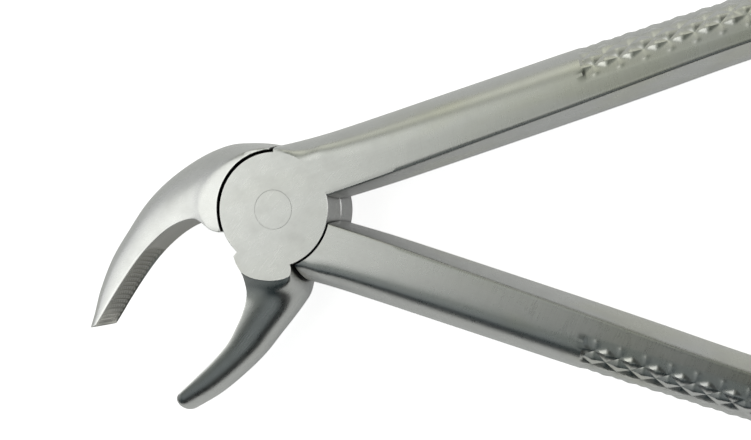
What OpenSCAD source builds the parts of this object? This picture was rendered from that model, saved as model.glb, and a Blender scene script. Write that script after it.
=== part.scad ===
// Extraction forceps: two steel halves crossed in a flush lap joint and held by one rivet.
// Millimetres. The pivot axis is Z. z = 0 is the back joint face, z = depth is the front one.
// The handles run towards +X, the beaks towards -X and -Y. The jaws are drawn fully open.

/* [Joint] */
// Thickness of the joint and the handles along the pivot
depth = 11.5; // [10:0.5:12]
// Radius of the round plate of each half
plate_r = 8.1; // [7.6:0.1:8.1]
// Radial gap between a plate and the other half's shoulders
shoulder_gap = 0.34; // [0.25:0.01:0.4]
// Gap between the two plates where they slide on each other
plate_gap = 0.04; // [0.02:0.01:0.1]

/* [Rivet] */
// Radius of the rivet's shank
rivet_r = 2.0; // [1.6:0.1:2.2]
// Radius of its flush heads
rivet_head_r = 2.75; // [2.5:0.05:3]
// Depth of the heads' cones
rivet_head_h = 0.9; // [0.6:0.1:1.2]
// Radial running clearance in the back half
rivet_play = 0.03; // [0.02:0.01:0.05]

/* [Handles] */
// Length of each handle from the pivot
handle_len = 128; // [115:1:135]
// Angle of the front half's handle above +X, jaws open
front_angle = 17.8; // [17.5:0.1:18.5]
// Angle of the back half's handle below +X, jaws open
back_angle = 17.3; // [17:0.1:18]
// How far the handle ends bend back inwards
handle_bow = 4.5; // [3:0.5:6]

/* [Beaks] */
// Depth of the hollow in the gripping faces
hollow = 0.45; // [0.2:0.05:0.6]

/* [Hidden] */
mid = depth / 2;
recess_r = plate_r + shoulder_gap;

// Where the shoulders of each half end, as angles about the pivot
handle_stop_f = 90;      // front handle, against the back beak
handle_stop_b = -70;     // back handle, against the front beak

// Handle stations: distance from the pivot, inner side, outer side, half height before the faces are ground flat, crown of the inner side
handle_rows = [
  [0,   -0.50, 8.95, 22.0, 0.2],
  [5,   -0.72, 8.65,  9.0, 0.4],
  [10,  -1.00, 8.35,  7.3, 0.65],
  [16,  -1.20, 8.24,  6.7, 0.9],
  [24,  -1.25, 8.17,  6.4, 1.1],
  [35,  -1.25, 8.07,  6.15, 1.3],
  [46,  -1.22, 7.95,  6.05, 1.5],
  [56,  -1.12, 7.70,  6.0, 1.7],
  [66,  -0.90, 7.50,  6.0, 1.75],
  [80,  -0.65, 7.35,  6.0, 1.75],
  [94,  -0.50, 7.30,  6.0, 1.75],
  [108, -0.50, 7.40,  6.0, 1.75],
  [118, -0.55, 7.60,  5.95, 1.7],
  [124, -0.60, 7.65,  5.9, 1.6]
];

// Beak stations: inner side x, y, outer side x, y, half height before the faces are ground flat, squareness of the back
front_beak = [
  [-5.99,  -6.58,   2.80,  -8.10, 14.0, 8.0],
  [-5.60,  -7.65,   3.05,  -9.00, 10.0, 7.0],
  [-4.80,  -9.06,   3.42, -10.50, 6.9, 5.2],
  [-4.46, -10.55,   3.36, -12.00, 5.3, 3.4],
  [-4.48, -12.22,   2.42, -13.58, 4.6, 2.6],
  [-5.10, -14.46,   0.86, -15.62, 4.35, 2.25],
  [-6.17, -16.70,  -1.04, -17.94, 4.2, 2.1],
  [-7.62, -19.15,  -3.54, -20.96, 4.05, 2.05],
  [-9.82, -21.58,  -6.84, -24.04, 3.95, 2.0],
  [-12.3, -23.90, -10.35, -26.80, 3.9, 2.0],
  [-15.0, -26.35, -13.90, -28.90, 3.85, 2.0]
];
back_beak = [
  [-8.29,  -3.23,  -0.20,   9.15, 14.0, 4.4],
  [-9.45,  -2.92,  -2.50,   9.52, 9.5, 3.7],
  [-10.35, -2.36,  -5.27,   9.63, 7.2, 2.9],
  [-11.15, -1.85,  -8.18,   9.46, 6.0, 2.5],
  [-12.4,  -1.38, -11.60,   8.35, 5.2, 2.3],
  [-14.4,  -1.72, -15.20,   6.42, 4.7, 2.25],
  [-16.75, -2.82, -18.65,   3.93, 4.35, 2.2],
  [-19.15, -4.64, -21.71,   0.92, 4.0, 2.15],
  [-21.56, -7.08, -24.45,  -2.90, 3.75, 2.15],
  [-23.95, -10.20, -27.02, -6.92, 3.6, 2.15],
  [-26.08, -13.32, -28.90, -11.50, 3.55, 2.15],
  [-27.45, -15.45, -29.78, -15.20, 3.55, 2.15],
  [-28.42, -16.90, -30.30, -17.30, 3.55, 2.15]
];

// --- curves -------------------------------------------------------------
// A smooth curve through the rows of a table; u runs from 0 to the number of rows less 1
function row_at(t, k) = t[max(0, min(len(t) - 1, k))];
function through(t, u) =
  let (k = min(floor(u), len(t) - 2), f = u - k,
       a = row_at(t, k - 1), b = row_at(t, k), c = row_at(t, k + 1), d = row_at(t, k + 2))
  0.5 * (2 * b + (c - a) * f + (2 * a - 5 * b + 4 * c - d) * f * f + (3 * b - a - 3 * c + d) * f * f * f);
// A smooth curve through a table whose first column is the position
function place(t, s, k = 0) = (k >= len(t) - 2 || s <= t[k + 1][0]) ? k : place(t, s, k + 1);
function table_at(t, s) =
  let (k = place(t, s), x0 = t[k][0], x1 = t[k + 1][0], f = max(0, min(1, (s - x0) / (x1 - x0))),
       a = row_at(t, k - 1), b = t[k], c = t[k + 1], d = row_at(t, k + 2),
       mb = (c - a) / max(1e-6, c[0] - a[0]) * (x1 - x0), mc = (d - b) / max(1e-6, d[0] - b[0]) * (x1 - x0),
       f2 = f * f, f3 = f2 * f)
  (2 * f3 - 3 * f2 + 1) * b + (f3 - 2 * f2 + f) * mb + (3 * f2 - 2 * f3) * c + (f3 - f2) * mc;

// --- a forged bar from ribs ---------------------------------------------
// Rib: [inner x, y, outer x, y, half height, hollow of the inner side, squareness across, squareness in height]
crown_steps = 9;
function crown(rib) = [for (j = [0:2 * crown_steps])
  let (a = 90 * j / crown_steps, v = pow(max(0, sin(a)), 2 / rib[6]),
       z = sign(cos(a)) * pow(abs(cos(a)), 2 / rib[7]) * rib[4])
  [rib[0] + (rib[2] - rib[0]) * v, rib[1] + (rib[3] - rib[1]) * v, mid + z]];
function inner_face(rib) = let (l = norm([rib[2] - rib[0], rib[3] - rib[1]]), n = 6)
  [for (j = [1:n - 1]) let (w = -1 + 2 * j / n, v = rib[5] * (1 - w * w) / max(l, 0.01))
    [rib[0] + (rib[2] - rib[0]) * v, rib[1] + (rib[3] - rib[1]) * v, mid + w * rib[4]]];
function ring(rib) = concat(crown(rib), inner_face(rib));

// left says that the outer side lies to the left of the way the ribs run
module bar(ribs, left = true) {
  rings = [for (r = ribs) ring(r)];
  n = len(rings[0]);
  m = len(rings);
  points = [for (r = rings) each r];
  sides = [for (i = [0:m - 2], j = [0:n - 1]) let (a = i * n + j, b = i * n + (j + 1) % n)
    each [[a, b, b + n], [a, b + n, a + n]]];
  // both ends are closed by a fan about the middle of the crown
  caps = [for (j = [1:n - 2]) let (a = crown_steps, b = (a + j) % n, c = (a + j + 1) % n, e = (m - 1) * n)
    each [[a, c, b], [e + a, e + b, e + c]]];
  faces = concat(sides, caps);
  polyhedron(points, left ? faces : [for (f = faces) [f[2], f[1], f[0]]]);
}

// --- the two kinds of bar -----------------------------------------------
// The handle lies along +X here, with its inner face near y = 0
function bend(s) = -handle_bow * pow(max(0, s - 58) / (handle_len - 58), 2);
function handle_rib(si, so) =
  let (a = table_at(handle_rows, si), b = table_at(handle_rows, so))
  [si, a[1] + a[4] + bend(si), so, b[2] + bend(so), b[3], -a[4], 2.7, 2.05];
module handle(stop) {
  // the first ribs turn from the radial stop face to square across the handle
  root = table_at(handle_rows, 2)[2] / tan(stop);
  turn = 18;
  fan = [for (k = [0:7]) let (f = k / 8) handle_rib(turn * f, root + (turn - root) * f)];
  run = [for (k = [0:30]) let (s = turn + (handle_len - 5 - turn) * k / 30) handle_rib(s, s)];
  // the rounded end
  tail = [for (a = [15:15:90]) let (s = handle_len - 5 + 5 * sin(a), f = 0.35 + 0.65 * cos(a),
      r = handle_rib(handle_len - 5, handle_len - 5), c = (r[1] + r[3]) / 2, h = (r[3] - r[1]) / 2,
      drop = bend(s) - bend(handle_len - 5))
    [s, c - h * f + drop, s, c + h * f + drop, r[4] * (0.45 + 0.55 * cos(a)), r[5] * cos(a), 2.7, 2.05]];
  bar(concat(fan, run, tail));
}

// tip_l is how far the tip reaches past the last row, tip_h and tip_w its shares of the beak's height and width
module beak(rows, near, left, tip_l, tip_h, tip_w, sub = 3) {
  n = (len(rows) - 1) * sub;
  blade = [for (k = [0:n]) let (u = k / sub, r = through(rows, u), w = min(1, max(0, (u - 3) / 4)))
    [r[0], r[1], r[2], r[3], r[4], hollow * w, r[5], 2.05]];
  // the end closes over the last ribs
  e = blade[n];
  b = blade[n - 1];
  dir = [e[0] + e[2] - b[0] - b[2], e[1] + e[3] - b[1] - b[3]] / norm([e[0] + e[2] - b[0] - b[2], e[1] + e[3] - b[1] - b[3]]);
  tip = [for (a = [30:20:90]) let (f = tip_w + (1 - tip_w) * cos(a), d = dir * tip_l * sin(a),
      c = [e[0] + e[2], e[1] + e[3]] / 2, h = [e[2] - e[0], e[3] - e[1]] / 2)
    [c[0] - h[0] * f + d[0], c[1] - h[1] * f + d[1], c[0] + h[0] * f + d[0], c[1] + h[1] * f + d[1],
     e[4] * (tip_h + (1 - tip_h) * cos(a)), hollow * cos(a), e[6], 2.05]];
  bar(concat([near], blade, tip), left);
}

// --- the joint ------------------------------------------------------------
module faces_ground_flat() {
  intersection() {
    children();
    translate([-60, -90, 0]) cube([220, 180, depth]);
  }
}
module rivet_shape(play = 0) {
  rotate_extrude($fn = 72) polygon([
    [0, 0], [rivet_head_r + play, 0], [rivet_r + play, rivet_head_h],
    [rivet_r + play, depth - rivet_head_h], [rivet_head_r + play, depth], [0, depth]]);
}

module front_half() {
  color([0.72, 0.73, 0.71])
  difference() {
    union() {
      difference() {
        faces_ground_flat() {
          rotate(front_angle) handle(handle_stop_f - front_angle);
          beak(front_beak, [-2.25, -2.40, 0.9, -2.6, 14, 0, 8.0, 2.05], true, 1.3, 0.72, 0.35);
        }
        translate([0, 0, -1]) cylinder(r = recess_r, h = 1 + mid + plate_gap / 2, $fn = 120);
      }
      translate([0, 0, mid + plate_gap / 2]) cylinder(r = plate_r, h = mid - plate_gap / 2, $fn = 120);
    }
    rivet_shape();
  }
}

module rear_half() {
  color([0.70, 0.71, 0.69])
  difference() {
    union() {
      difference() {
        faces_ground_flat() {
          mirror([0, 1, 0]) rotate(back_angle) handle(-handle_stop_b - back_angle);
          beak(back_beak, [-2.4, -0.86, -0.14, 2.4, 14, 0, 4.4, 2.05], false, 0.25, 0.95, 0.86);
        }
        translate([0, 0, mid - plate_gap / 2]) cylinder(r = recess_r, h = mid + 1, $fn = 120);
      }
      cylinder(r = plate_r, h = mid - plate_gap / 2, $fn = 120);
    }
    rivet_shape(rivet_play);
  }
}

module pivot_rivet() {
  color([0.76, 0.77, 0.75]) rivet_shape();
}

front_half();
rear_half();
pivot_rivet();
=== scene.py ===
import math
import bpy
import numpy as np
from mathutils import Matrix, Vector


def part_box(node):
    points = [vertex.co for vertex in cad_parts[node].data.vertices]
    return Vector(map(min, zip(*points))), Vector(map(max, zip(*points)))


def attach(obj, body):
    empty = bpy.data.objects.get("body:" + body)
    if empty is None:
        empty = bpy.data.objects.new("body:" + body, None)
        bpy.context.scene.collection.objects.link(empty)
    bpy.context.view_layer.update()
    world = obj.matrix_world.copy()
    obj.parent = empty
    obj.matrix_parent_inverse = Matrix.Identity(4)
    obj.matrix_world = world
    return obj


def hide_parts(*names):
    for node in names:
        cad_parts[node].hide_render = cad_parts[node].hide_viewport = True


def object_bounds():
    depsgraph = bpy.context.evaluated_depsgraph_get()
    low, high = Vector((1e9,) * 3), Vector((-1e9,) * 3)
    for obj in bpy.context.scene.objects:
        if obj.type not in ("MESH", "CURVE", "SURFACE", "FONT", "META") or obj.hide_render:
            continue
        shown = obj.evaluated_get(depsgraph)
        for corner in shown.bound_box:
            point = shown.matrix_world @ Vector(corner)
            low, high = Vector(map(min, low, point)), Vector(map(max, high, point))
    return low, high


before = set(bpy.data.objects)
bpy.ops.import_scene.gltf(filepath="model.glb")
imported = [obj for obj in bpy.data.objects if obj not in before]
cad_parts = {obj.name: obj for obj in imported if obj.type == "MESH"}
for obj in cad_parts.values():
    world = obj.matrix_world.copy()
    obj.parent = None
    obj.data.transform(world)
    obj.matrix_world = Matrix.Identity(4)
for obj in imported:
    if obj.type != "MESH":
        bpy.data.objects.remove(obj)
cad_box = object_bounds()

# ---------------------------------------------------------------- dimensions, mm
T = round((cad_box[1].z - cad_box[0].z) * 1000, 4)      # joint thickness, from the frame
MID = T / 2
RIVET_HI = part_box("pivot_rivet")[1]
HEAD_R = round(RIVET_HI.x * 1000, 3)
PLATE_R, GAP, PLATE_GAP = 8.1, 0.37, 0.04
RECESS_R = PLATE_R + GAP
SHANK_R, HEAD_H = 2.0, 0.9
HANDLE_L, BOW, HOLLOW = 128.0, 4.5, 0.45
ANGLE_F, ANGLE_B = 17.8, 17.3

HANDLE = np.array([
    [0, -0.50, 8.95, 22.0, 0.2], [5, -0.72, 8.65, 9.0, 0.4], [10, -1.00, 8.35, 7.3, 0.65],
    [16, -1.20, 8.24, 6.7, 0.9], [24, -1.25, 8.17, 6.4, 1.1], [35, -1.25, 8.07, 6.15, 1.3],
    [46, -1.22, 7.95, 6.05, 1.5], [56, -1.12, 7.70, 6.0, 1.7], [66, -0.90, 7.50, 6.0, 1.75],
    [80, -0.65, 7.35, 6.0, 1.75], [94, -0.50, 7.30, 6.0, 1.75], [108, -0.50, 7.40, 6.0, 1.75],
    [118, -0.55, 7.60, 5.95, 1.7], [124, -0.60, 7.65, 5.9, 1.6]])
# Beak stations: inner edge x, y, outer line x, y, half height, squareness of the back
FRONT_BEAK = np.array([
    [-5.99, -6.58, 2.80, -8.10, 14.0, 8.0], [-5.60, -7.65, 3.05, -9.00, 10.0, 7.0], [-4.80, -9.06, 3.42, -10.50, 6.9, 5.2],
    [-4.46, -10.55, 3.36, -12.00, 5.3, 3.4], [-4.48, -12.22, 2.42, -13.58, 4.6, 2.6], [-5.10, -14.46, 0.86, -15.62, 4.35, 2.25],
    [-6.17, -16.70, -1.04, -17.94, 4.2, 2.1], [-7.62, -19.15, -3.54, -20.96, 4.05, 2.05], [-9.82, -21.58, -6.84, -24.04, 3.95, 2.0],
    [-12.3, -23.90, -10.35, -26.80, 3.9, 2.0], [-15.0, -26.35, -13.90, -28.90, 3.85, 2.0]])
BACK_BEAK = np.array([
    [-8.29, -3.23, -0.20, 9.15, 14.0, 4.4], [-9.45, -2.92, -2.50, 9.52, 10.5, 3.7], [-10.35, -2.36, -5.27, 9.63, 8.2, 3.0],
    [-11.15, -1.85, -8.18, 9.46, 6.6, 2.6], [-12.4, -1.38, -11.60, 8.35, 5.4, 2.35], [-14.4, -1.72, -15.20, 6.42, 4.75, 2.25],
    [-16.75, -2.82, -18.65, 3.93, 4.35, 2.2], [-19.15, -4.64, -21.71, 0.92, 4.0, 2.15], [-21.56, -7.08, -24.45, -2.90, 3.75, 2.15],
    [-23.95, -10.20, -27.02, -6.92, 3.6, 2.15], [-26.08, -13.32, -28.90, -11.5, 3.55, 2.15], [-27.45, -15.45, -29.78, -15.2, 3.55, 2.15],
    [-28.42, -16.90, -30.30, -17.30, 3.55, 2.15]])
# Where each half's flat joint face ends towards its beak: radius from the pivot every 10 degrees
FRONT_ARC = (-130, 10, [9.9, 10.05, 10.15, 10.05, 9.95, 9.78, 9.3, 8.3])
REAR_ARC = (85, 10, [8.45, 8.85, 9.15, 9.4, 9.7, 10.02, 10.42, 10.85, 11.27, 11.43, 11.22, 10.4, 9.0])
DROP, DROP_RUN = 0.95, 1.7        # how far the beak lies below that face, and over what run

KNURL_P, KNURL_Q, KNURL_D, KNURL_FROM, KNURL_TO, KNURL_V = 3.42, 2.7, 0.29, 46.8, 114.0, 8.6
KNURL_N = 12                      # mesh steps to a pitch


# ---------------------------------------------------------------- curves shared with the solids
def through(t, u):
    k = min(int(math.floor(u)), len(t) - 2)
    f = u - k
    r = lambda i: t[max(0, min(len(t) - 1, i))]
    a, b, c, d = r(k - 1), r(k), r(k + 1), r(k + 2)
    return 0.5 * (2 * b + (c - a) * f + (2 * a - 5 * b + 4 * c - d) * f * f + (3 * b - a - 3 * c + d) * f ** 3)


def table_at(t, s):
    k = 0
    while not (k >= len(t) - 2 or s <= t[k + 1][0]):
        k += 1
    x0, x1 = t[k][0], t[k + 1][0]
    f = max(0.0, min(1.0, (s - x0) / (x1 - x0)))
    r = lambda i: t[max(0, min(len(t) - 1, i))]
    a, b, c, d = r(k - 1), t[k], t[k + 1], r(k + 2)
    mb = (c - a) / max(1e-6, c[0] - a[0]) * (x1 - x0)
    mc = (d - b) / max(1e-6, d[0] - b[0]) * (x1 - x0)
    return (2 * f ** 3 - 3 * f * f + 1) * b + (f ** 3 - 2 * f * f + f) * mb + (3 * f * f - 2 * f ** 3) * c + (f ** 3 - f * f) * mc


def bend(s):
    return -BOW * (max(0.0, s - 58) / (HANDLE_L - 58)) ** 2


def handle_rib(si, so):
    a, b = table_at(HANDLE, si), table_at(HANDLE, so)
    return [si, a[1] + a[4] + bend(si), so, b[2] + bend(so), b[3], -a[4], 2.7, 2.05]


def beak_top(arc, x, y):
    """Height of the ground beak above the middle plane: it falls away from the joint face beyond the arc."""
    start, step, radii = arc
    ang = np.degrees(np.arctan2(y, x))
    ang = np.where(ang < start - 60, ang + 360, ang) if start > 0 else ang
    t = np.clip((ang - start) / step, 0, len(radii) - 1.001)
    k = np.floor(t).astype(int); f = t - k
    R = np.array([radii[0]] + list(radii) + [radii[-1]])
    p, q, r, w = R[k], R[k + 1], R[k + 2], R[np.minimum(k + 3, len(R) - 1)]
    arc_r = 0.5 * (2 * q + (r - p) * f + (2 * p - 5 * q + 4 * r - w) * f * f + (3 * q - p - 3 * r + w) * f ** 3)
    rad = np.hypot(x, y)
    d = rad - arc_r
    land = 0.12 * np.clip(rad - PLATE_R - 0.45, 0, 2.6) if start > 0 else 0.0     # the crescent beside the gap is eased off a little
    inside = 0.0 if start > 0 else d * DROP / DROP_RUN
    fall = DROP - (0.2 if start > 0 else 0.0)
    return MID - land - np.where(d > 0, fall * (1 - np.exp(-np.maximum(d, 0) / DROP_RUN)), inside)


# ---------------------------------------------------------------- one cross section
def soft_min(a, b, k):
    h = np.clip(0.5 + 0.5 * (b - a) / k, 0, 1)
    out = b * (1 - h) + a * h - k * h * (1 - h)
    return np.where(a > b + k, b, out)


def section(rib, k, v_step, v_n, flat_n, inner_n, fillet, knurl=None, serrate=None, top_of=None):
    """A closed ring of points: the crown from the top corner round to the bottom one, then the inner face.
    v_n points each side of the crown's middle are v_step apart, flat_n more reach each corner."""
    ix, iy, ox, oy, h, hollow, e1, e2 = rib
    l = max(math.hypot(ox - ix, oy - iy), 1e-3)
    dx, dy = (ox - ix) / l, (oy - iy) / l
    a = np.linspace(0, math.pi / 2, 1200)
    v = np.clip(np.sin(a), 0, 1) ** (2 / e1) * l
    z = np.clip(np.cos(a), 0, 1) ** (2 / e2) * h
    v[0] = 0.0
    if top_of is None:
        z = soft_min(z, np.full_like(z, MID), k)
    else:
        # sample evenly before limiting, because the flat part has few angles
        vv = np.concatenate([np.linspace(0, v[-1] * 0.999, 900), v[v > v[-1] * 0.97]])
        vv = np.unique(vv)
        z = np.interp(vv, v, z)
        v = vv
        z = soft_min(z, top_of(ix + dx * v, iy + dy * v), k)
        z[-1] = 0.0
    dv, dz = np.diff(v), np.diff(z)
    L = np.concatenate([[0], np.cumsum(np.hypot(dv, dz)[::-1])])[::-1]     # distance of each sample from the middle
    total = L[0]
    step = min(v_step, (total - 1.0) / (v_n + 2))
    near = np.arange(0, v_n + 1) * step
    rest = np.linspace(0, 1, flat_n + 1)[1:]
    far = near[-1] + (total - fillet - near[-1]) * rest
    q = np.concatenate([near, far])                                        # middle -> corner
    cv = np.interp(q, L[::-1], v[::-1])
    cz = np.interp(q, L[::-1], z[::-1])
    if top_of is None:
        cz = np.where(cz > MID - 1e-5, MID, cz)
    if knurl is not None:
        tv = np.gradient(cv); tz = np.gradient(cz)
        n = np.stack([-tz, tv], 1) * -1
        n[0] = (1, 0)
        n /= np.maximum(np.linalg.norm(n, axis=1), 1e-9)[:, None]
        if n[3, 0] < 0:
            n[1:] *= -1
        d = knurl(q)
        cv = cv - n[:, 0] * d
        cz = cz - n[:, 1] * d
    top = np.stack([cv, cz], 1)[::-1]               # corner -> middle
    bottom = np.stack([cv, -cz], 1)[1:]             # middle -> corner
    zc = float(z[0]) if top_of is not None else min(h, MID)
    inner_v = lambda zz: hollow * (1 - (zz / h) ** 2)

    def corner(c, along_flat, along_inner):
        p0, p2 = c + along_flat * fillet, c + along_inner * fillet
        t = np.array([0.25, 0.5, 0.75, 1.0])[:, None]
        return (1 - t) ** 2 * p0 + 2 * t * (1 - t) * c + t * t * p2
    c_top = np.array([inner_v(zc), zc])
    flat_t = top[0] - c_top
    flat_t = flat_t / max(np.linalg.norm(flat_t), 1e-9)
    p = np.array([inner_v(zc - 0.3), zc - 0.3]) - c_top
    p = p / np.linalg.norm(p)
    m = np.array([1, -1])
    ct, cb = corner(c_top, flat_t, p), corner(c_top * m, flat_t * m, p * m)
    lim = zc - fillet * 1.3
    half_n = (inner_n - 1) // 2
    zz = np.arange(-half_n, half_n + 1) * (lim / half_n if serrate is None or abs(lim / half_n - 0.17) > 0.02 else min(0.17, lim / half_n))
    body = np.stack([inner_v(zz), zz], 1)
    if serrate is not None:
        body[:, 0] += serrate(zz)
    ring = np.concatenate([top, bottom, cb, body, ct[::-1]])
    xy = np.array([ix, iy]) + ring[:, :1] * np.array([dx, dy])
    return np.concatenate([xy, ring[:, 1:] + MID], 1)


def loft(rings, split=None):
    """Quads split to triangles between the rings, and fans at both ends."""
    V = np.array(rings)
    m, n, _ = V.shape
    flat = V.reshape(-1, 3)
    c0, c1 = V[0].mean(0), V[-1].mean(0)
    verts = np.concatenate([flat, [c0, c1]])
    i = np.arange(m - 1)[:, None]; j = np.arange(n)[None, :]
    a = i * n + j; b = i * n + (j + 1) % n; c = b + n; d = a + n
    alt = np.zeros((m - 1, n), bool) if split is None else split
    t1 = np.where(alt[..., None], np.stack([a, b, d], -1), np.stack([a, b, c], -1)).reshape(-1, 3)
    t2 = np.where(alt[..., None], np.stack([b, c, d], -1), np.stack([a, c, d], -1)).reshape(-1, 3)
    jj = np.arange(n)
    e0, e1 = m * n, m * n + 1
    cap0 = np.stack([np.full(n, e0), (jj + 1) % n, jj], 1)
    cap1 = np.stack([np.full(n, e1), (m - 1) * n + jj, (m - 1) * n + (jj + 1) % n], 1)
    F = np.concatenate([t1, t2, cap0, cap1])
    p, q, r = verts[F[:, 0]], verts[F[:, 1]], verts[F[:, 2]]
    if np.einsum("ij,ij->i", p, np.cross(q, r)).sum() < 0:
        F = F[:, ::-1]
    return verts, F


# ---------------------------------------------------------------- the bars
def handle_mesh(stop):
    root = table_at(HANDLE, 2)[2] / math.tan(math.radians(stop))
    turn = 18.0
    du = KNURL_P / KNURL_N
    v_n = 39
    kn_n = int(round((KNURL_TO - KNURL_FROM) / du))
    stations = [("fan", k / 30) for k in range(30)]
    stations += [("run", s) for s in np.arange(turn, KNURL_FROM - 0.3, 0.75)]
    first = len(stations)
    stations += [("run", KNURL_FROM + du * k) for k in range(kn_n + 1)]
    last = len(stations) - 1
    stations += [("run", s) for s in np.linspace(KNURL_FROM + du * kn_n + 0.6, HANDLE_L - 5, 16)]
    stations += [("tail", a) for a in (6, 12, 18, 24, 30, 36, 42, 48, 54, 60, 66, 71, 76, 80, 84, 87, 90)]

    def pyramid(u, q):
        p1 = (u - KNURL_FROM) / KNURL_P + q / KNURL_Q
        p2 = (u - KNURL_FROM) / KNURL_P - q / KNURL_Q
        f1, f2 = np.abs(p1 - np.floor(p1) - 0.5), np.abs(p2 - np.floor(p2) - 0.5)
        depth = KNURL_D * np.clip(2 * np.maximum(f1, f2) - 0.06, 0, 1)
        lim_v = np.clip((KNURL_V - q) / 1.9, 0, 1) * KNURL_D
        lim_u = np.clip(min(u - KNURL_FROM, KNURL_TO - u) / 0.6, 0, 1) * KNURL_D
        return np.minimum(np.minimum(depth, lim_v), lim_u)

    rings = []
    for kind, x in stations:
        kn = None
        fl = 0.30
        if kind == "fan":
            r = handle_rib(turn * x, root + (turn - root) * x)
        elif kind == "run":
            r = handle_rib(x, x)
            if KNURL_FROM - 0.01 < x < KNURL_TO + 0.01:
                kn = (lambda q, x=x: pyramid(x, q))
        else:
            ar = math.radians(x)
            s = HANDLE_L - 5 + 5 * math.sin(ar)
            f = 0.35 + 0.65 * math.cos(ar)
            r0 = handle_rib(HANDLE_L - 5, HANDLE_L - 5)
            c, hh = (r0[1] + r0[3]) / 2, (r0[3] - r0[1]) / 2
            dr = bend(s) - bend(HANDLE_L - 5)
            r = [s, c - hh * f + dr, s, c + hh * f + dr, r0[4] * (0.45 + 0.55 * math.cos(ar)), r0[5] * math.cos(ar), 2.7, 2.05]
            fl = 0.30 * (0.3 + 0.7 * math.cos(ar))
        rings.append(section(r, 0.7, KNURL_Q / KNURL_N, v_n, 12, 13, fl, knurl=kn))
    n = len(rings[0])
    split = np.zeros((len(rings) - 1, n), bool)
    mid_j = 12 + v_n                       # the ring's index of the outermost line
    i = np.arange(last - first)[:, None]
    j = np.arange(0, 2 * (12 + v_n))[None, :] - mid_j
    # a diagonal along a groove: it runs from (i, j) to (i + 1, j + 1) where i - j is a whole pitch, the other way where i + j + 1 is
    anti = ((i + j + 1) % KNURL_N == 0)
    split[first:last, 0:2 * (12 + v_n)] = anti
    return loft(rings, split)


def beak_mesh(rows, near, arc, tip_l, tip_h, tip_f, serr_len):
    """tip_f is how much of the width the closed end keeps: near 1 is a straight cut, less is a rounded one."""
    last = len(rows) - 1
    us = np.linspace(0, last, 1200)
    pts = np.array([through(rows, u)[:2] for u in us])
    L = np.concatenate([[0], np.cumsum(np.linalg.norm(np.diff(pts, axis=0), axis=1))])
    total = L[-1]
    pz, ps = 0.68, 0.75
    serr_from = total - serr_len
    stops = list(np.arange(0, serr_from, 0.26)) + list(np.arange(serr_from, total - 0.02, ps / 4)) + [total]
    stops = [s for i, s in enumerate(stops) if i == 0 or s - stops[i - 1] > 0.04]
    ribs = [near]
    marks = [None]
    for s in stops:
        r = through(rows, float(np.interp(s, L, us)))
        w = min(1.0, max(0.0, (float(np.interp(s, L, us)) - 3) / 4))
        ribs.append([r[0], r[1], r[2], r[3], r[4], HOLLOW * w, r[5], 2.05])
        marks.append(s)
    e, b = np.array(ribs[-1]), np.array(ribs[-5])
    d = np.array([e[0] + e[2] - b[0] - b[2], e[1] + e[3] - b[1] - b[3]])
    d /= np.linalg.norm(d)
    for deg in (12, 24, 36, 48, 58, 66, 74, 80, 85, 90):
        ar = math.radians(deg)
        f = tip_f + (1 - tip_f) * math.cos(ar)
        dd = d * tip_l * math.sin(ar)
        c = np.array([e[0] + e[2], e[1] + e[3]]) / 2
        h = np.array([e[2] - e[0], e[3] - e[1]]) / 2
        ribs.append([c[0] - h[0] * f + dd[0], c[1] - h[1] * f + dd[1], c[0] + h[0] * f + dd[0], c[1] + h[1] * f + dd[1],
                     e[4] * (tip_h + (1 - tip_h) * math.cos(ar)), e[5] * math.cos(ar), e[6], 2.05])
        marks.append(None)
    rings = []
    for r, s in zip(ribs, marks):
        ser = None
        if s is not None and s >= serr_from - 1e-6:
            fs = abs((s - serr_from) / ps % 1 - 0.5)
            fade = min(1.0, (s - serr_from) / 0.5)
            width = min(1.0, max(0.0, (total - s) / 0.3))

            def ser(zz, fs=fs, fade=fade, width=width):
                fz = np.abs(zz / pz % 1 - 0.5)
                return 0.27 * 2 * np.maximum(fs, fz) * fade * width
        l = math.hypot(r[2] - r[0], r[3] - r[1])
        fl = min(0.10, 0.08 * l)
        rings.append(section(r, 0.45, 0.2, 30, 22, 41, fl, serrate=ser, top_of=lambda x, y: beak_top(arc, x, y)))
    return loft(rings)


def lathe(profile, n=256):
    """A closed solid of revolution about Z. The profile runs from the axis to the axis, or is a closed loop off it."""
    P = np.array(profile, float)
    a = np.linspace(0, 2 * math.pi, n, endpoint=False)
    on_axis = P[0][0] < 1e-9
    ring_pts = P[1:-1] if on_axis else P
    m = len(ring_pts)
    V = np.stack([np.outer(ring_pts[:, 0], np.cos(a)), np.outer(ring_pts[:, 0], np.sin(a)), np.outer(ring_pts[:, 1], np.ones(n))], -1).reshape(-1, 3)
    F = []
    jj = np.arange(n)
    for i in range(m - 1 if on_axis else m):
        i2 = (i + 1) % m
        p, q, r, s = i * n + jj, i * n + (jj + 1) % n, i2 * n + (jj + 1) % n, i2 * n + jj
        F += [np.stack([p, q, r], 1), np.stack([p, r, s], 1)]
    if on_axis:
        V = np.concatenate([V, [[0, 0, P[0][1]], [0, 0, P[-1][1]]]])
        F += [np.stack([np.full(n, m * n), (jj + 1) % n, jj], 1), np.stack([np.full(n, m * n + 1), (m - 1) * n + jj, (m - 1) * n + (jj + 1) % n], 1)]
    F = np.concatenate(F)
    v = V[F]
    if np.einsum("ij,ij->i", v[:, 0], np.cross(v[:, 1], v[:, 2])).sum() < 0:
        F = F[:, ::-1]
    return V, F


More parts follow.
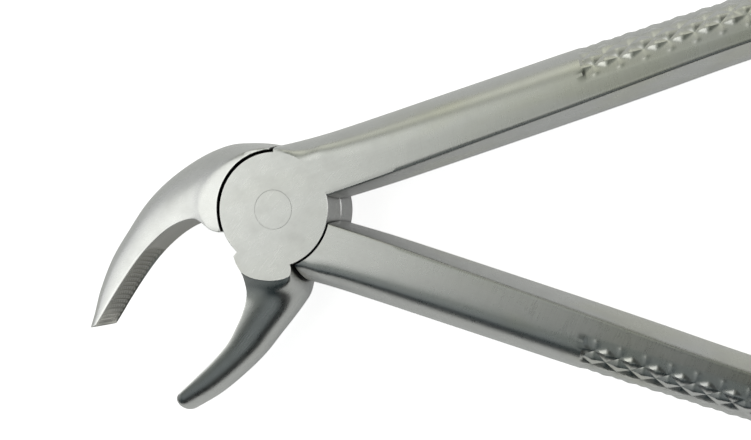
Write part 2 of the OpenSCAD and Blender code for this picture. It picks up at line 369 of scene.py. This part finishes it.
# ---------------------------------------------------------------- Blender meshes
def make(name, V, F, turn=0.0, flip_y=False):
    V = np.array(V, float)
    c, s = math.cos(math.radians(turn)), math.sin(math.radians(turn))
    V = np.stack([V[:, 0] * c - V[:, 1] * s, V[:, 0] * s + V[:, 1] * c, V[:, 2]], 1)
    if flip_y:
        V[:, 1] *= -1
        F = F[:, ::-1]
    me = bpy.data.meshes.new(name)
    me.from_pydata((V / 1000).tolist(), [], F.tolist())
    me.update()
    ob = bpy.data.objects.new(name, me)
    bpy.context.scene.collection.objects.link(ob)
    return ob


def boolean(ob, other, how):
    mod = ob.modifiers.new("b", "BOOLEAN")
    mod.operation, mod.object, mod.solver = how, other, "MANIFOLD"
    bpy.context.view_layer.update()
    me = bpy.data.meshes.new_from_object(ob.evaluated_get(bpy.context.evaluated_depsgraph_get()))
    ob.modifiers.clear()
    ob.data = me
    bpy.data.objects.remove(other)
    return ob


def plate(z0, z1, lo, hi):
    """lo and hi: how far the rim is eased in at the bottom and top, as (radial, axial)."""
    return lathe([(0, z0), (PLATE_R - lo[0], z0), (PLATE_R, z0 + lo[1]), (PLATE_R, z1 - hi[1]), (PLATE_R - hi[0], z1), (0, z1)])


def recess(z0, z1, mouth_high, centre=(0.0, 0.0), gap=GAP):
    """Cutter for the other half's plate: a cylinder whose mouth is eased where it breaks the outer face.
    Ground a little off centre, its gap is wider on one side."""
    e = 0.06
    RECESS_R = PLATE_R + gap
    if mouth_high:
        prof = [(0, z0), (RECESS_R, z0), (RECESS_R, T - e), (RECESS_R + e + 0.4, T + 0.4), (0, T + 0.4)]
    else:
        prof = [(0, -0.4), (RECESS_R + e + 0.4, -0.4), (RECESS_R, e), (RECESS_R, z1), (0, z1)]
    V, F = lathe(prof)
    V = np.array(V, dtype=float)
    V[:, 0] += centre[0]
    V[:, 1] += centre[1]
    return V, F


def rivet_cutter(play, ease):
    r, hr = SHANK_R + play, HEAD_R + play
    k = (HEAD_R - SHANK_R) / HEAD_H
    return lathe([(0, -0.5), (hr + ease + 0.5 , -0.5), (hr, ease * 0.5), (r, HEAD_H), (r, T - HEAD_H), (hr, T - ease * 0.5), (hr + ease + 0.5, T + 0.5), (0, T + 0.5)], 128)


def slab():
    s_ = 200.0
    V = [(x, y, z) for z in (0, T) for x, y in ((-s_, -s_), (s_, -s_), (s_, s_), (-s_, s_))]
    F = np.array([(0, 2, 1), (0, 3, 2), (4, 5, 6), (4, 6, 7), (0, 1, 5), (0, 5, 4), (1, 2, 6), (1, 6, 5), (2, 3, 7), (2, 7, 6), (3, 0, 4), (3, 4, 7)])
    return make("slab", V, F)


def half(name, handle, beak, plate_solid, cutter, hole):
    ob = boolean(beak, slab(), "INTERSECT")
    ob = boolean(ob, handle, "UNION")
    ob = boolean(ob, cutter, "DIFFERENCE")
    ob = boolean(ob, plate_solid, "UNION")
    ob = boolean(ob, hole, "DIFFERENCE")
    ob.name = ob.data.name = name
    return ob


g = PLATE_GAP / 2
hf = make("hf", *handle_mesh(90 - ANGLE_F), turn=ANGLE_F)
bf = make("bf", *beak_mesh(FRONT_BEAK, [-2.25, -2.40, 0.9, -2.6, 14, 0, 8.0, 2.05], FRONT_ARC, 1.3, 0.72, 0.35, 13.2))
hb = make("hb", *handle_mesh(70 - ANGLE_B), turn=ANGLE_B, flip_y=True)
bb = make("bb", *beak_mesh(BACK_BEAK, [-2.4, -0.86, -0.14, 2.4, 14, 0, 4.4, 2.05], REAR_ARC, 0.25, 0.95, 0.86, 13.6))
front = half("front_half_steel", hf, bf, make("pf", *plate(MID + g, T, (0.07, 0.07), (0.07, 0.07))), make("cf", *recess(-0.4, MID + g, False)), make("rf", *rivet_cutter(0.0, 0.05)))
rear = half("rear_half_steel", hb, bb, make("pb", *plate(0, MID - g, (0.07, 0.07), (0.38, 0.45))), make("cb", *recess(MID - g, 0, True, (-0.09, 0.03), 0.33)), make("rb", *rivet_cutter(0.03, 0.05)))

rv = lathe([(0, 0), (HEAD_R - 0.02, 0.0), (HEAD_R - 0.005, 0.02), (SHANK_R, HEAD_H), (SHANK_R, T - HEAD_H), (HEAD_R - 0.005, T - 0.02), (HEAD_R - 0.02, T), (0, T)], 128)
rivet = make("pivot_rivet_steel", *rv)


def finish_mesh(ob, angle):
    import bmesh
    bm = bmesh.new()
    bm.from_mesh(ob.data)
    bmesh.ops.triangulate(bm, faces=[f for f in bm.faces if len(f.verts) > 4])
    bad = [e for e in bm.edges if len(e.link_faces) != 2]
    print(ob.name, "faces", len(bm.faces), "open edges", len(bad), "volume cm3", round(bm.calc_volume(signed=True) * 1e6, 3))
    bm.to_mesh(ob.data)
    bm.free()
    ob.data.shade_smooth()
    ob.data.set_sharp_from_angle(angle=math.radians(angle))
    mod = ob.modifiers.new("n", "WEIGHTED_NORMAL")
    mod.mode, mod.weight, mod.keep_sharp = "FACE_AREA", 80, True
    bpy.context.view_layer.update()
    me = bpy.data.meshes.new_from_object(ob.evaluated_get(bpy.context.evaluated_depsgraph_get()))
    ob.modifiers.clear()
    ob.data = me
    me.name = ob.name


for ob, a in ((front, 24), (rear, 24), (rivet, 25)):
    finish_mesh(ob, a)


# ---------------------------------------------------------------- steel
def nodes_of(mat):
    mat.use_nodes = True
    nt = mat.node_tree
    nt.nodes.clear()
    return nt


def steel(name, angle, sign, flush=False):
    """Satin ground stainless steel. angle and sign give the handle's direction; sizes in the nodes are millimetres."""
    mat = bpy.data.materials.new(name)
    nt = nodes_of(mat)
    N, Lk = nt.nodes.new, nt.links.new

    def node(kind, **kw):
        n = N(kind)
        for k, v in kw.items():
            setattr(n, k, v)
        return n

    def put(sock, x):
        if isinstance(x, (int, float)):
            sock.default_value = x
        elif isinstance(x, tuple):
            sock.default_value = x
        else:
            Lk(x, sock)

    def m(op, a, b=None, c=None, clamp=False):
        n = node("ShaderNodeMath", operation=op, use_clamp=clamp)
        for i, x in enumerate((a, b, c)):
            if x is not None:
                put(n.inputs[i], x)
        return n.outputs[0]

    def ramp(x, lo, hi, a=0.0, b=1.0, smooth=False):
        n = node("ShaderNodeMapRange", clamp=True, interpolation_type="SMOOTHSTEP" if smooth else "LINEAR")
        n.inputs["From Min"].default_value, n.inputs["From Max"].default_value = lo, hi
        n.inputs["To Min"].default_value, n.inputs["To Max"].default_value = a, b
        Lk(x, n.inputs["Value"])
        return n.outputs[0]

    def mix(a, b, f, kind="MIX"):
        n = node("ShaderNodeMix", data_type="RGBA", blend_type=kind)
        put(n.inputs["Factor"], f)
        put(n.inputs["A"], a)
        put(n.inputs["B"], b)
        return n.outputs["Result"]

    def vmix(a, b, f):
        n = node("ShaderNodeMix", data_type="FLOAT")
        put(n.inputs["Factor"], f)
        put(n.inputs["A"], a)
        put(n.inputs["B"], b)
        return n.outputs["Result"]

    tc = node("ShaderNodeTexCoord")
    mm = node("ShaderNodeVectorMath", operation="SCALE")
    mm.inputs["Scale"].default_value = 1000
    Lk(tc.outputs["Object"], mm.inputs[0])
    P = mm.outputs[0]
    sep = node("ShaderNodeSeparateXYZ")
    Lk(P, sep.inputs[0])
    X, Y, Z = sep.outputs

    def coords(turn, scale, loc=(0.0, 0.0, 0.0)):
        r = node("ShaderNodeMapping", vector_type="POINT")
        r.inputs["Rotation"].default_value = (0, 0, math.radians(-turn))
        Lk(P, r.inputs["Vector"])
        q = node("ShaderNodeMapping", vector_type="POINT")
        q.inputs["Scale"].default_value = scale
        q.inputs["Location"].default_value = loc
        Lk(r.outputs["Vector"], q.inputs["Vector"])
        return q.outputs["Vector"]

    def noise(vec, scale=1.0, detail=2.0, rough_=0.5):
        n = node("ShaderNodeTexNoise")
        n.inputs["Scale"].default_value = scale
        n.inputs["Detail"].default_value = detail
        n.inputs["Roughness"].default_value = rough_
        Lk(vec, n.inputs["Vector"])
        return n.outputs["Fac"]

    ang = angle * sign
    ca, sa = math.cos(math.radians(ang)), math.sin(math.radians(ang))
    along = m("ADD", m("MULTIPLY", X, ca), m("MULTIPLY", Y, sa))
    on_handle = ramp(along, 9.0, 24.0, smooth=True)
    radius = m("SQRT", m("ADD", m("MULTIPLY", X, X), m("MULTIPLY", Y, Y)))
    geo = node("ShaderNodeNewGeometry")
    ns = node("ShaderNodeSeparateXYZ")
    Lk(geo.outputs["Normal"], ns.inputs[0])
    facing = m("ABSOLUTE", ns.outputs[2])
    flat = ramp(facing, 0.995, 0.9995)

    # grain: grinding lines across the handles, finer and calmer on the joint, along the beaks
    g_handle = noise(coords(ang + 84, (0.22, 7.5, 7.5)), 1.0, 3.0, 0.62)
    g_along = noise(coords(ang, (0.10, 5.0, 5.0), (7, 1, 3)), 1.0, 2.0, 0.55)
    g_joint = noise(coords(ang + 35, (0.45, 5.5, 5.5), (1, 5, 2)), 1.0, 3.0, 0.6)
    grain = vmix(g_joint, g_handle, on_handle)
    blast = noise(coords(0, (1, 1, 1), (11, 3, 6)), 9.0, 2.0, 0.6)                # fine satin tooth
    cloud = noise(coords(ang, (0.35, 1, 1), (5, 2, 9)), 0.16, 2.0, 0.5)             # slow tarnish drift
    smudge = noise(coords(0, (1, 1, 1), (1, 8, 4)), 0.42, 4.0, 0.62)

    def scratches(turn, loc, dens, width):
        a = noise(coords(turn, (0.06, 2.6, 2.6), loc), 1.0, 0.0, 0.0)
        line = ramp(m("ABSOLUTE", m("SUBTRACT", a, 0.5)), 0.0, width, 1.0, 0.0)
        gate = ramp(noise(coords(turn, (0.22, 0.9, 0.9), loc), 1.0, 1.0, 0.4), dens, dens + 0.04)
        return m("MULTIPLY", line, gate)
    sc = m("MAXIMUM", scratches(ang + 62, (2, 4, 8), 0.60, 0.004), scratches(ang - 48, (9, 1, 3), 0.62, 0.004))
    sc = m("MAXIMUM", sc, scratches(ang + 9, (4, 4, 4), 0.61, 0.004))

    # wear rings where the rivet was spun and ground flush
    ring = m("MULTIPLY", ramp(m("ABSOLUTE", m("SUBTRACT", radius, HEAD_R + 0.02)), 0.03, 0.11, 1.0, 0.0), flat)
    ring = m("MULTIPLY", ring, ramp(noise(coords(0, (1, 1, 1), (2, 2, 7)), 0.55, 3.0, 0.6), 0.42, 0.62))

    # colour
    base = mix((0.60, 0.605, 0.595, 1), (0.575, 0.578, 0.515, 1), m("MULTIPLY", ramp(cloud, 0.46, 0.68, smooth=True), m("ADD", 0.12, m("MULTIPLY", on_handle, 0.60))))
    base = mix(base, (0.50, 0.50, 0.49, 1), ramp(smudge, 0.52, 0.85, 0.0, 0.45))
    grip = node("ShaderNodeAttribute", attribute_name="grip").outputs["Fac"]
    base = mix(base, (0.50, 0.49, 0.455, 1), m("MULTIPLY", grip, 0.8))
    # painted highlight: the serration tips are coloured near white to stand in for their glints
    tip_glints = node("ShaderNodeAttribute", attribute_name="tip_glints").outputs["Fac"]
    base = mix(base, (0.95, 0.94, 0.87, 1), m("MULTIPLY", tip_glints, 0.95))
    # painted shade: the colour is darkened towards near black in crevices and the gap round the plate, found by ambient
    # occlusion, less so near the rivet
    ao = node("ShaderNodeAmbientOcclusion", samples=8)
    ao.inputs["Distance"].default_value = 0.0007
    crevice_shade = ramp(ao.outputs["AO"], 0.30, 0.85, 1.0, 0.0)
    crevice_shade = m("MULTIPLY", crevice_shade, ramp(radius, HEAD_R + 0.4, HEAD_R + 0.6, 0.45, 1.0))
    base = mix(base, (0.055, 0.055, 0.05, 1), m("MULTIPLY", crevice_shade, 0.88))
    inside = node("ShaderNodeAmbientOcclusion", samples=6, inside=True, only_local=True)
    inside.inputs["Distance"].default_value = 0.00035
    edge = ramp(inside.outputs["AO"], 0.55, 0.92, 1.0, 0.0)
    # the spun rivet is ground flush, so its rim shows no wear
    edge = m("MULTIPLY", edge, ramp(radius, HEAD_R + 0.4, HEAD_R + 0.6))
    base = mix(base, (0.70, 0.70, 0.69, 1), m("MULTIPLY", edge, 0.30))
    tone = ramp(grain, 0.35, 0.65, 0.975, 1.02)
    tone = m("MULTIPLY", tone, ramp(g_along, 0.3, 0.7, 0.985, 1.012))
    tone = m("MULTIPLY", tone, m("SUBTRACT", 1.0, m("MULTIPLY", ring, 0.08)))
    tone = m("MULTIPLY", tone, m("ADD", 1.0, m("MULTIPLY", sc, 0.05)))
    comb_ = node("ShaderNodeCombineColor")
    for i in range(3):
        Lk(tone, comb_.inputs[i])
    base = mix(base, comb_.outputs[0], 1.0, "MULTIPLY")

    out = node("ShaderNodeOutputMaterial")
    bsdf = node("ShaderNodeBsdfPrincipled")
    Lk(bsdf.outputs[0], out.inputs[0])
    bsdf.inputs["Metallic"].default_value = 1.0
    Lk(base, bsdf.inputs["Base Color"])

    r = m("ADD", 0.29, m("MULTIPLY", m("SUBTRACT", grain, 0.5), 0.10))
    r = m("ADD", r, m("MULTIPLY", m("SUBTRACT", smudge, 0.5), 0.12))
    r = m("ADD", r, m("MULTIPLY", m("SUBTRACT", blast, 0.5), 0.05))
    r = m("SUBTRACT", r, m("MULTIPLY", edge, 0.05))
    r = m("ADD", r, m("MULTIPLY", grip, 0.10))
    r = m("ADD", r, m("MULTIPLY", crevice_shade, 0.15), clamp=True)
    Lk(r, bsdf.inputs["Roughness"])

    h = m("MULTIPLY", m("SUBTRACT", grain, 0.5), 0.0022)
    h = m("ADD", h, m("MULTIPLY", m("SUBTRACT", blast, 0.5), 0.0012))
    h = m("ADD", h, m("MULTIPLY", m("SUBTRACT", g_along, 0.5), 0.0022))
    h = m("SUBTRACT", h, m("MULTIPLY", sc, 0.0007))
    bump = node("ShaderNodeBump")
    bump.inputs["Strength"].default_value = 1.0
    bump.inputs["Distance"].default_value = 0.001
    Lk(h, bump.inputs["Height"])
    Lk(bump.outputs[0], bsdf.inputs["Normal"])
    return mat


for ob, mat in ((front, steel("steel_front", ANGLE_F, 1)), (rear, steel("steel_rear", ANGLE_B, -1)), (rivet, steel("steel_rivet", ANGLE_F, 1))):
    ob.data.materials.clear()
    ob.data.materials.append(mat)
    ob.data.polygons.foreach_set("material_index", np.zeros(len(ob.data.polygons), np.int32))

def mark_grip(ob, rows, serr_len):
    """Mark the coarser ground gripping face of the beak: points near its inner line, and facing the other beak."""
    me = ob.data
    n = len(me.vertices)
    co = np.zeros(n * 3); me.vertices.foreach_get("co", co); co = co.reshape(-1, 3) * 1000
    us = np.linspace(1.5, len(rows) - 1, 500)
    R = np.array([through(rows, u) for u in us])
    d = np.stack([R[:, 2] - R[:, 0], R[:, 3] - R[:, 1]], 1)
    d /= np.linalg.norm(d, axis=1)[:, None]
    val, tip_glints = np.zeros(n), np.zeros(n)
    L = np.concatenate([[0], np.cumsum(np.linalg.norm(np.diff(R[:, :2], axis=0), axis=1))])
    near = np.where((co[:, 1] < 0.5) & (co[:, 0] < 4.5) & (np.hypot(co[:, 0], co[:, 1]) > 9.0))[0]
    for i0 in range(0, len(near), 4000):
        idx = near[i0:i0 + 4000]
        p = co[idx, :2]
        dist = np.linalg.norm(p[:, None, :] - R[None, :, :2], axis=2)
        k = dist.argmin(1)
        v = ((p - R[k, :2]) * d[k]).sum(1)
        val[idx] = np.where(v < HOLLOW + 0.33, 1.0, 0.0) * np.clip((co[idx, 2] - 0.05) / 0.1, 0, 1)
        deep = v - HOLLOW * (1 - ((co[idx, 2] - MID) / R[k, 4]) ** 2)
        # the serration tips, where a painted highlight goes
        tip_glints[idx] = val[idx] * np.clip(1 - np.abs(deep) / 0.08, 0, 1) * np.clip((L[k] - L[-1] + serr_len - 0.3) / 0.3, 0, 1)
    # keep only points whose neighbours agree that the face looks across, not up
    nm = np.zeros(n * 3); me.vertices.foreach_get("normal", nm); nm = nm.reshape(-1, 3)
    val *= np.clip((0.75 - np.abs(nm[:, 2])) / 0.15, 0, 1)
    at = me.attributes.new("grip", "FLOAT", "POINT")
    at.data.foreach_set("value", val.astype(np.float32))
    at = me.attributes.new("tip_glints", "FLOAT", "POINT")
    at.data.foreach_set("value", tip_glints.astype(np.float32))


mark_grip(front, FRONT_BEAK, 13.2)
mark_grip(rear, BACK_BEAK, 13.6)

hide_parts("front_half"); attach(front, "front")
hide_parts("rear_half"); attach(rear, "rear")
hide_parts("pivot_rivet"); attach(rivet, "front")


# ---------------------------------------------------------------- studio
# how bright the floor glows by itself, as the steel sees it and as the camera does
FLOOR_GLOW, FLOOR_WHITE = 0.217, 0.86


def floor():
    me = bpy.data.meshes.new("floor")
    s, z = 3.0, cad_box[0].z - 0.00002
    me.from_pydata([(-s, -s, z), (s, -s, z), (s, s, z), (-s, s, z)], [], [(0, 1, 2, 3)])
    ob = bpy.data.objects.new("floor", me)
    bpy.context.scene.collection.objects.link(ob)
    mat = bpy.data.materials.new("floor")
    nt = nodes_of(mat)
    out = nt.nodes.new("ShaderNodeOutputMaterial")
    b = nt.nodes.new("ShaderNodeBsdfPrincipled")
    b.inputs["Base Color"].default_value = (0.93, 0.93, 0.93, 1)
    b.inputs["Roughness"].default_value = 0.9
    b.inputs["Specular IOR Level"].default_value = 0.0
    b.inputs["Emission Color"].default_value = (1, 1, 1, 1)
    lp_ = nt.nodes.new("ShaderNodeLightPath")
    mx = nt.nodes.new("ShaderNodeMix")
    mx.data_type = "FLOAT"
    mx.inputs["A"].default_value, mx.inputs["B"].default_value = FLOOR_GLOW, FLOOR_WHITE
    nt.links.new(lp_.outputs["Is Camera Ray"], mx.inputs["Factor"])
    nt.links.new(mx.outputs["Result"], b.inputs["Emission Strength"])
    nt.links.new(b.outputs[0], out.inputs[0])
    me.materials.append(mat)
    return ob


floor()


def area(name, loc, target, size, power, size_y=None, col=(1, 1, 1)):
    li = bpy.data.lights.new(name, "AREA")
    li.shape = "RECTANGLE"
    li.size, li.size_y = size, size_y or size
    li.energy = power
    li.color = col
    ob = bpy.data.objects.new(name, li)
    ob.location = loc
    ob.rotation_mode = "QUATERNION"
    ob.rotation_quaternion = (Vector(target) - Vector(loc)).to_track_quat("-Z", "Y")
    bpy.context.scene.collection.objects.link(ob)
    return ob


# The studio is painted on the world as soft lamps, each a direction, a half width in degrees and a strength.
LAMPS = [
    ((0.171, 0.296, 0.940), 18, (0.032, 0.040, 0.029)),
    ((-0.171, 0.296, 0.940), 18, (0.361, 0.378, 0.338)),
    ((-0.659, 0.116, 0.743), 18, (0.734, 0.738, 0.715)),
    ((0.229, -0.629, 0.743), 18, (0.225, 0.249, 0.250)),
    ((0.899, 0.000, 0.438), 18, (0.151, 0.152, 0.146)),
    ((0.278, 0.855, 0.438), 18, (0.136, 0.138, 0.123)),
    ((-0.278, 0.855, 0.438), 18, (0.445, 0.454, 0.385)),
    ((-0.899, 0.000, 0.438), 18, (0.744, 0.749, 0.745)),
    ((-0.278, -0.855, 0.438), 18, (0.000, 0.011, 0.016)),
    ((0.727, -0.528, 0.438), 18, (0.008, 0.015, 0.017)),
    ((0.961, 0.257, 0.105), 20, (0.833, 0.833, 0.829)),
    ((0.497, 0.861, 0.105), 20, (0.521, 0.521, 0.516)),
    ((-0.257, 0.961, 0.105), 20, (0.427, 0.432, 0.375)),
    ((-0.861, 0.497, 0.105), 20, (0.668, 0.675, 0.673)),
    ((-0.961, -0.257, 0.105), 20, (0.636, 0.637, 0.638)),
    ((-0.446, 0.258, 0.857), 13, (0.383, 0.387, 0.369)),
    ((-0.507, -0.089, 0.857), 13, (0.933, 0.940, 0.914)),
    ((-0.331, -0.395, 0.857), 13, (0.124, 0.145, 0.132)),
    ((-0.273, 0.750, 0.602), 14, (0.347, 0.354, 0.310)),
    ((-0.692, 0.399, 0.602), 14, (0.190, 0.199, 0.183)),
    ((-0.513, -0.612, 0.602), 14, (0.247, 0.261, 0.258)),
    ((0.947, 0.167, 0.276), 13, (0.516, 0.516, 0.513)),
    ((0.618, 0.736, 0.276), 13, (0.299, 0.299, 0.298)),
    ((-0.947, -0.167, 0.276), 13, (0.130, 0.130, 0.131)),
]
AMBIENT = (0.0, 0.0, 0.0)
world = bpy.data.worlds.new("studio")
bpy.context.scene.world = world
world.use_nodes = True
wt = world.node_tree
wt.nodes.clear()
wo = wt.nodes.new("ShaderNodeOutputWorld")
bg = wt.nodes.new("ShaderNodeBackground")
tc = wt.nodes.new("ShaderNodeTexCoord")
acc = None
for d, width, power in LAMPS:
    dot = wt.nodes.new("ShaderNodeVectorMath")
    dot.operation = "DOT_PRODUCT"
    dot.inputs[1].default_value = Vector(d).normalized()
    wt.links.new(tc.outputs["Generated"], dot.inputs[0])
    mr = wt.nodes.new("ShaderNodeMapRange")
    mr.interpolation_type = "SMOOTHERSTEP"
    mr.inputs["From Min"].default_value = math.cos(math.radians(min(175, width * 1.6)))
    mr.inputs["From Max"].default_value = math.cos(math.radians(width * 0.25))
    wt.links.new(dot.outputs["Value"], mr.inputs["Value"])
    col = wt.nodes.new("ShaderNodeVectorMath")
    col.operation = "SCALE"
    col.inputs[0].default_value = power
    wt.links.new(mr.outputs[0], col.inputs["Scale"])
    add = wt.nodes.new("ShaderNodeVectorMath")
    add.operation = "ADD"
    add.inputs[1].default_value = AMBIENT
    if acc is not None:
        wt.links.new(acc, add.inputs[1])
    wt.links.new(col.outputs[0], add.inputs[0])
    acc = add.outputs[0]
wt.links.new(acc, bg.inputs["Color"])
plain = wt.nodes.new("ShaderNodeBackground")
plain.inputs["Color"].default_value = (0.95, 0.95, 0.95, 1)
lp = wt.nodes.new("ShaderNodeLightPath")
mixs = wt.nodes.new("ShaderNodeMixShader")
wt.links.new(lp.outputs["Is Camera Ray"], mixs.inputs[0])
wt.links.new(bg.outputs[0], mixs.inputs[1])
wt.links.new(plain.outputs[0], mixs.inputs[2])
wt.links.new(mixs.outputs[0], wo.inputs[0])

# ---------------------------------------------------------------- camera, at the photo's angle
TILT, EL, F_PX, DIST, OX, OY = 16.5, 0.3353, 1537.742, 215.375, 14.356, -1.457
t_, e_ = math.radians(TILT), math.radians(EL)
zc = Vector((math.sin(t_) * math.cos(e_), math.sin(e_), math.cos(t_) * math.cos(e_)))
xc = Vector((0, 1, 0)).cross(zc).normalized()
yc = zc.cross(xc)
pos = (Vector((0, 0, T)) + xc * OX + yc * OY + zc * DIST) / 1000
cd = bpy.data.cameras.new("camera")
cd.sensor_width = 36
cd.lens = F_PX * 36 / 751
cd.clip_start, cd.clip_end = 0.01, 20
cam = bpy.data.objects.new("camera", cd)
cam.matrix_world = Matrix(((xc.x, yc.x, zc.x, pos.x), (xc.y, yc.y, zc.y, pos.y), (xc.z, yc.z, zc.z, pos.z), (0, 0, 0, 1)))
bpy.context.scene.collection.objects.link(cam)
bpy.context.scene.camera = cam
bpy.context.scene.view_settings.view_transform = "Standard"
